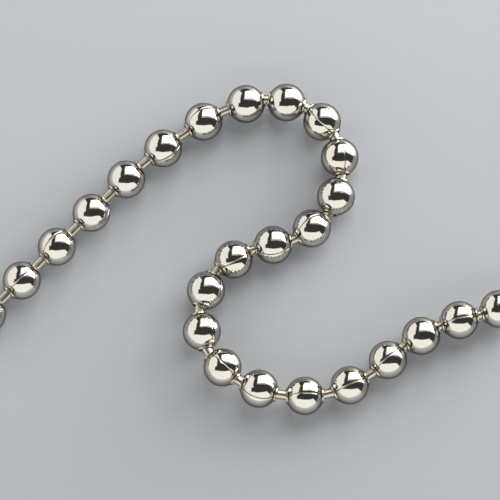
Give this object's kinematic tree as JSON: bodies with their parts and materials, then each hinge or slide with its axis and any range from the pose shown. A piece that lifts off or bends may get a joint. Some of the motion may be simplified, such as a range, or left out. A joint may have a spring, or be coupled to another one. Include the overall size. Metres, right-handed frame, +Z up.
{
  "type": "roller blind chain",
  "caption": "Metal ball chain for a roller blind: hollow seamed balls joined by headed links, lying in a loose S.",
  "frame": {"origin": "on the surface that the chain lies on, under the middle of its box", "axes": "+Z up; +X along the longest reach of the S, towards the end with the slack links; +Y across it"},
  "size_m": [0.065, 0.0402, 0.0045],
  "materials": {
    "ball_plating": "bright nickel plate, polished",
    "link_plating": "bright nickel plate, lightly drawn"
  },
  "bodies": {
    "bead_01": {"bead_01": "ball_plating"},
    "bead_02": {"bead_02": "ball_plating"},
    "bead_03": {"bead_03": "ball_plating"},
    "bead_04": {"bead_04": "ball_plating"},
    "bead_05": {"bead_05": "ball_plating"},
    "bead_06": {"bead_06": "ball_plating"},
    "bead_07": {"bead_07": "ball_plating"},
    "bead_08": {"bead_08": "ball_plating"},
    "bead_09": {"bead_09": "ball_plating"},
    "bead_10": {"bead_10": "ball_plating"},
    "bead_11": {"bead_11": "ball_plating"},
    "bead_12": {"bead_12": "ball_plating"},
    "bead_13": {"bead_13": "ball_plating"},
    "bead_14": {"bead_14": "ball_plating"},
    "bead_15": {"bead_15": "ball_plating"},
    "bead_16": {"bead_16": "ball_plating"},
    "bead_17": {"bead_17": "ball_plating"},
    "bead_18": {"bead_18": "ball_plating"},
    "bead_19": {"bead_19": "ball_plating"},
    "bead_20": {"bead_20": "ball_plating"},
    "bead_21": {"bead_21": "ball_plating"},
    "bead_22": {"bead_22": "ball_plating"},
    "bead_23": {"bead_23": "ball_plating"},
    "bead_24": {"bead_24": "ball_plating"},
    "bead_25": {"bead_25": "ball_plating"},
    "link_01": {"link_01": "link_plating"},
    "link_02": {"link_02": "link_plating"},
    "link_03": {"link_03": "link_plating"},
    "link_04": {"link_04": "link_plating"},
    "link_05": {"link_05": "link_plating"},
    "link_06": {"link_06": "link_plating"},
    "link_07": {"link_07": "link_plating"},
    "link_08": {"link_08": "link_plating"},
    "link_09": {"link_09": "link_plating"},
    "link_10": {"link_10": "link_plating"},
    "link_11": {"link_11": "link_plating"},
    "link_12": {"link_12": "link_plating"},
    "link_13": {"link_13": "link_plating"},
    "link_14": {"link_14": "link_plating"},
    "link_15": {"link_15": "link_plating"},
    "link_16": {"link_16": "link_plating"},
    "link_17": {"link_17": "link_plating"},
    "link_18": {"link_18": "link_plating"},
    "link_19": {"link_19": "link_plating"},
    "link_20": {"link_20": "link_plating"},
    "link_21": {"link_21": "link_plating"},
    "link_22": {"link_22": "link_plating"},
    "link_23": {"link_23": "link_plating"},
    "link_24": {"link_24": "link_plating"}
  },
  "joints": [
    {"name": "link_13_in_bead_13", "type": "hinge", "parent": "bead_13", "child": "link_13", "pos_m": [0.00664, 0.00138, 0.00225], "axis": [0, 0, 1], "range_deg": [-7.5, 32.5]},
    {"name": "bead_14_on_link_13", "type": "hinge", "parent": "link_13", "child": "bead_14", "pos_m": [0.00528, 0.00079, 0.00225], "axis": [0, 0, -1], "range_deg": [-32.5, 7.5]},
    {"name": "link_14_in_bead_14", "type": "hinge", "parent": "bead_14", "child": "link_14", "pos_m": [0.00175, 0.0001, 0.00225], "axis": [0, 0, 1], "range_deg": [-30, 10]},
    {"name": "bead_15_on_link_14", "type": "hinge", "parent": "link_14", "child": "bead_15", "pos_m": [0.00039, -0.00042, 0.00225], "axis": [0, 0, -1], "range_deg": [-10, 30]},
    {"name": "link_15_in_bead_15", "type": "hinge", "parent": "bead_15", "child": "link_15", "pos_m": [-0.00269, -0.00227, 0.00225], "axis": [0, 0, 1], "range_deg": [-38, 2]},
    {"name": "bead_16_on_link_15", "type": "hinge", "parent": "link_15", "child": "bead_16", "pos_m": [-0.00372, -0.00346, 0.00225], "axis": [0, 0, -1], "range_deg": [-2, 38]},
    {"name": "link_16_in_bead_16", "type": "hinge", "parent": "bead_16", "child": "link_16", "pos_m": [-0.00513, -0.00677, 0.00225], "axis": [0, 0, 1], "range_deg": [-37.5, 2.5]},
    {"name": "bead_17_on_link_16", "type": "hinge", "parent": "link_16", "child": "bead_17", "pos_m": [-0.00528, -0.00833, 0.00225], "axis": [0, 0, -1], "range_deg": [-2.5, 37.5]},
    {"name": "link_17_in_bead_17", "type": "hinge", "parent": "bead_17", "child": "link_17", "pos_m": [-0.00453, -0.01184, 0.00225], "axis": [0, 0, 1], "range_deg": [-37.5, 2.5]},
    {"name": "bead_18_on_link_17", "type": "hinge", "parent": "link_17", "child": "bead_18", "pos_m": [-0.00376, -0.01321, 0.00225], "axis": [0, 0, -1], "range_deg": [-2.5, 37.5]},
    {"name": "link_18_in_bead_18", "type": "hinge", "parent": "bead_18", "child": "link_18", "pos_m": [-0.00113, -0.01566, 0.00225], "axis": [0, 0, 1], "range_deg": [-32, 8]},
    {"name": "bead_19_on_link_18", "type": "hinge", "parent": "link_18", "child": "bead_19", "pos_m": [0.00014, -0.01642, 0.00225], "axis": [0, 0, -1], "range_deg": [-8, 32]},
    {"name": "link_19_in_bead_19", "type": "hinge", "parent": "bead_19", "child": "link_19", "pos_m": [0.00343, -0.01755, 0.00225], "axis": [0, 0, 1], "range_deg": [-27, 7]},
    {"name": "bead_20_on_link_19", "type": "hinge", "parent": "link_19", "child": "bead_20", "pos_m": [0.00553, -0.01789, 0.00225], "axis": [0, 0, -1], "range_deg": [-7, 27]},
    {"name": "link_20_in_bead_20", "type": "hinge", "parent": "bead_20", "child": "link_20", "pos_m": [0.0089, -0.01783, 0.00225], "axis": [0, 0, 1], "range_deg": [-29.5, 4.5]},
    {"name": "bead_21_on_link_20", "type": "hinge", "parent": "link_20", "child": "bead_21", "pos_m": [0.01099, -0.01732, 0.00225], "axis": [0, 0, -1], "range_deg": [-4.5, 29.5]},
    {"name": "link_21_in_bead_21", "type": "hinge", "parent": "bead_21", "child": "link_21", "pos_m": [0.01402, -0.01585, 0.00225], "axis": [0, 0, 1], "range_deg": [-25, 9]},
    {"name": "bead_22_on_link_21", "type": "hinge", "parent": "link_21", "child": "bead_22", "pos_m": [0.01577, -0.01467, 0.00225], "axis": [0, 0, -1], "range_deg": [-9, 25]},
    {"name": "link_22_in_bead_22", "type": "hinge", "parent": "bead_22", "child": "link_22", "pos_m": [0.01837, -0.01232, 0.00225], "axis": [0, 0, 1], "range_deg": [-15.5, 26.5]},
    {"name": "bead_23_on_link_22", "type": "hinge", "parent": "link_22", "child": "bead_23", "pos_m": [0.01941, -0.01156, 0.00225], "axis": [0, 0, -1], "range_deg": [-26.5, 15.5]},
    {"name": "link_23_in_bead_23", "type": "hinge", "parent": "bead_23", "child": "link_23", "pos_m": [0.02252, -0.00969, 0.00225], "axis": [0, 0, 1], "range_deg": [-13, 29]},
    {"name": "bead_24_on_link_23", "type": "hinge", "parent": "link_23", "child": "bead_24", "pos_m": [0.02372, -0.00918, 0.00225], "axis": [0, 0, -1], "range_deg": [-29, 13]},
    {"name": "link_24_in_bead_24", "type": "hinge", "parent": "bead_24", "child": "link_24", "pos_m": [0.02724, -0.00824, 0.00225], "axis": [0, 0, 1], "range_deg": [-22, 20]},
    {"name": "bead_25_on_link_24", "type": "hinge", "parent": "link_24", "child": "bead_25", "pos_m": [0.02846, -0.00789, 0.00225], "axis": [0, 0, -1], "range_deg": [-20, 22]},
    {"name": "link_12_in_bead_13", "type": "hinge", "parent": "bead_13", "child": "link_12", "pos_m": [0.00958, 0.00352, 0.00225], "axis": [0, 0, 1], "range_deg": [-38.5, 3.5]},
    {"name": "bead_12_on_link_12", "type": "hinge", "parent": "link_12", "child": "bead_12", "pos_m": [0.01038, 0.0046, 0.00225], "axis": [0, 0, -1], "range_deg": [-3.5, 38.5]},
    {"name": "link_11_in_bead_12", "type": "hinge", "parent": "bead_12", "child": "link_11", "pos_m": [0.01157, 0.00807, 0.00225], "axis": [0, 0, 1], "range_deg": [-34.5, 7.5]},
    {"name": "bead_11_on_link_11", "type": "hinge", "parent": "link_11", "child": "bead_11", "pos_m": [0.0117, 0.00934, 0.00225], "axis": [0, 0, -1], "range_deg": [-7.5, 34.5]},
    {"name": "link_10_in_bead_11", "type": "hinge", "parent": "bead_11", "child": "link_10", "pos_m": [0.01119, 0.01297, 0.00225], "axis": [0, 0, 1], "range_deg": [-38.5, 3.5]},
    {"name": "bead_10_on_link_10", "type": "hinge", "parent": "link_10", "child": "bead_10", "pos_m": [0.01061, 0.01419, 0.00225], "axis": [0, 0, -1], "range_deg": [-3.5, 38.5]},
    {"name": "link_09_in_bead_10", "type": "hinge", "parent": "bead_10", "child": "link_09", "pos_m": [0.0081, 0.01687, 0.00225], "axis": [0, 0, 1], "range_deg": [-38.5, 3.5]},
    {"name": "bead_09_on_link_09", "type": "hinge", "parent": "link_09", "child": "bead_09", "pos_m": [0.00693, 0.01753, 0.00225], "axis": [0, 0, -1], "range_deg": [-3.5, 38.5]},
    {"name": "link_08_in_bead_09", "type": "hinge", "parent": "bead_09", "child": "link_08", "pos_m": [0.00334, 0.0183, 0.00225], "axis": [0, 0, 1], "range_deg": [-35, 7]},
    {"name": "bead_08_on_link_08", "type": "hinge", "parent": "link_08", "child": "bead_08", "pos_m": [0.00206, 0.01825, 0.00225], "axis": [0, 0, -1], "range_deg": [-7, 35]},
    {"name": "link_07_in_bead_08", "type": "hinge", "parent": "bead_08", "child": "link_07", "pos_m": [-0.00131, 0.01729, 0.00225], "axis": [0, 0, 1], "range_deg": [-24.5, 9.5]},
    {"name": "bead_07_on_link_07", "type": "hinge", "parent": "link_07", "child": "bead_07", "pos_m": [-0.00332, 0.01641, 0.00225], "axis": [0, 0, -1], "range_deg": [-9.5, 24.5]},
    {"name": "link_06_in_bead_07", "type": "hinge", "parent": "bead_07", "child": "link_06", "pos_m": [-0.00612, 0.01473, 0.00225], "axis": [0, 0, 1], "range_deg": [-18.5, 11.5]},
    {"name": "bead_06_on_link_06", "type": "hinge", "parent": "link_06", "child": "bead_06", "pos_m": [-0.00828, 0.01324, 0.00225], "axis": [0, 0, -1], "range_deg": [-11.5, 18.5]},
    {"name": "link_05_in_bead_06", "type": "hinge", "parent": "bead_06", "child": "link_05", "pos_m": [-0.01079, 0.01128, 0.00225], "axis": [0, 0, 1], "range_deg": [-18, 12]},
    {"name": "bead_05_on_link_05", "type": "hinge", "parent": "link_05", "child": "bead_05", "pos_m": [-0.01277, 0.00956, 0.00225], "axis": [0, 0, -1], "range_deg": [-12, 18]},
    {"name": "link_04_in_bead_05", "type": "hinge", "parent": "bead_05", "child": "link_04", "pos_m": [-0.01506, 0.00735, 0.00225], "axis": [0, 0, 1], "range_deg": [-16, 14]},
    {"name": "bead_04_on_link_04", "type": "hinge", "parent": "link_04", "child": "bead_04", "pos_m": [-0.01692, 0.0055, 0.00225], "axis": [0, 0, -1], "range_deg": [-14, 16]},
    {"name": "link_03_in_bead_04", "type": "hinge", "parent": "bead_04", "child": "link_03", "pos_m": [-0.01913, 0.0032, 0.00225], "axis": [0, 0, 1], "range_deg": [-14.5, 15.5]},
    {"name": "bead_03_on_link_03", "type": "hinge", "parent": "link_03", "child": "bead_03", "pos_m": [-0.02096, 0.00134, 0.00225], "axis": [0, 0, -1], "range_deg": [-15.5, 14.5]},
    {"name": "link_02_in_bead_03", "type": "hinge", "parent": "bead_03", "child": "link_02", "pos_m": [-0.02322, -0.00092, 0.00225], "axis": [0, 0, 1], "range_deg": [-15, 15]},
    {"name": "bead_02_on_link_02", "type": "hinge", "parent": "link_02", "child": "bead_02", "pos_m": [-0.02507, -0.00277, 0.00225], "axis": [0, 0, -1], "range_deg": [-15, 15]},
    {"name": "link_01_in_bead_02", "type": "hinge", "parent": "bead_02", "child": "link_01", "pos_m": [-0.02732, -0.00502, 0.00225], "axis": [0, 0, 1], "range_deg": [-15.5, 14.5]},
    {"name": "bead_01_on_link_01", "type": "hinge", "parent": "link_01", "child": "bead_01", "pos_m": [-0.02916, -0.00689, 0.00225], "axis": [0, 0, -1], "range_deg": [-14.5, 15.5]}
  ]
}
